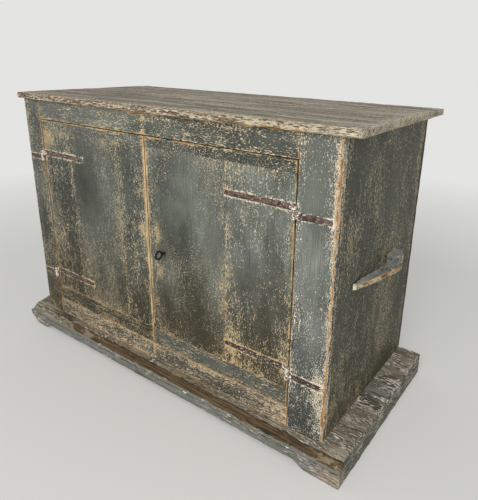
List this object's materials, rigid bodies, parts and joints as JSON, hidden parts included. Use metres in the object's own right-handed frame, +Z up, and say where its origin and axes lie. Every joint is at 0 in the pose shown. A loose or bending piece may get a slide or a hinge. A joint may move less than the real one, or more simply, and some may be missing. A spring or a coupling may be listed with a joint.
{
  "type": "buffet",
  "caption": "Low painted plank buffet with strap-hinged doors, a key lock, an inner shelf and carved side handles, on a wide scooped base.",
  "frame": {"origin": "on the floor, under the middle of the base", "axes": "+X to the right of the front, front faces -Y, +Z up"},
  "size_m": [1.35, 0.596, 0.88],
  "materials": {
    "painted_front": "matt grey-green paint, flaked to ochre ground and bare wood along the edges",
    "painted_side": "matt olive-grey paint, worn in upright streaks",
    "weathered_top": "weathered grey-brown boards with paint left in the grain",
    "painted_base": "worn grey paint over brown wood, bare along the front bevel",
    "bare_wood": "old unpainted softwood",
    "handle_wood": "carved wood, painted above and rubbed bare on the outer edge",
    "forged_iron": "hand-forged iron with dull brown rust"
  },
  "bodies": {
    "carcass": {"back_board_left": "bare_wood", "back_board_middle": "bare_wood", "back_board_right": "bare_wood", "base_apron": "painted_base", "base_middle_bearer": "bare_wood", "base_rear_bearer": "bare_wood", "base_runner_left": "painted_base", "base_runner_right": "painted_base", "bottom_rail": "painted_front", "floor_board": "bare_wood", "floor_cleats": "bare_wood", "frame_leaf_nails": "forged_iron", "handle_left": "handle_wood", "handle_nails": "forged_iron", "handle_right": "handle_wood", "hinge_pins": "forged_iron", "left_lower_hinge_leaf": "forged_iron", "left_upper_hinge_leaf": "forged_iron", "platform_front_plank": "painted_base", "platform_middle_plank": "painted_base", "platform_rear_plank": "painted_base", "right_lower_hinge_leaf": "forged_iron", "right_upper_hinge_leaf": "forged_iron", "shelf": "bare_wood", "shelf_cleats": "bare_wood", "side_left_front_board": "painted_side", "side_left_rear_board": "painted_side", "side_right_front_board": "painted_side", "side_right_rear_board": "painted_side", "stile_left": "painted_front", "stile_right": "painted_front", "top_battens": "bare_wood", "top_front_plank": "weathered_top", "top_rail": "painted_front", "top_rear_plank": "weathered_top"},
    "left_door": {"left_door_bottom_clamp": "painted_front", "left_door_inner_plank": "painted_front", "left_door_middle_plank": "painted_front", "left_door_outer_plank": "painted_front", "left_door_strap_nails": "forged_iron", "left_door_top_clamp": "painted_front", "left_lower_hinge_strap": "forged_iron", "left_upper_hinge_strap": "forged_iron", "button_washer": "forged_iron", "button_screw": "forged_iron"},
    "right_door": {"right_door_bottom_clamp": "painted_front", "right_door_inner_plank": "painted_front", "right_door_outer_plank": "painted_front", "right_door_strap_nails": "forged_iron", "right_door_top_clamp": "painted_front", "right_lower_hinge_strap": "forged_iron", "right_upper_hinge_strap": "forged_iron", "lock_plate": "forged_iron", "lock_case": "forged_iron", "lock_nails": "forged_iron"},
    "key": {"key": "forged_iron"},
    "lock_bolt": {"lock_bolt": "forged_iron"},
    "turn_button": {"turn_button": "bare_wood"}
  },
  "joints": [
    {"name": "left_door_swing", "type": "hinge", "parent": "carcass", "child": "left_door", "pos_m": [-0.50875, -0.2639, 0.243], "axis": [0, 0, -1], "range_deg": [0, 170]},
    {"name": "right_door_swing", "type": "hinge", "parent": "carcass", "child": "right_door", "pos_m": [0.49175, -0.2639, 0.243], "axis": [0, 0, 1], "range_deg": [0, 170]},
    {"name": "key_turn", "type": "hinge", "parent": "right_door", "child": "key", "pos_m": [0.0555, -0.257, 0.461], "axis": [0, -1, 0], "range_deg": [0, 360]},
    {"name": "bolt_slide", "type": "slide", "parent": "right_door", "child": "lock_bolt", "axis": [-1, 0, 0], "range_m": [0, 0.018]},
    {"name": "button_turn", "type": "hinge", "parent": "left_door", "child": "turn_button", "pos_m": [-0.07, -0.23, 0.7715], "axis": [0, -1, 0], "range_deg": [0, 90]}
  ],
  "couplings": [
    {"joint": "key_turn", "follows": "bolt_slide", "rad_per_m": 349}
  ]
}
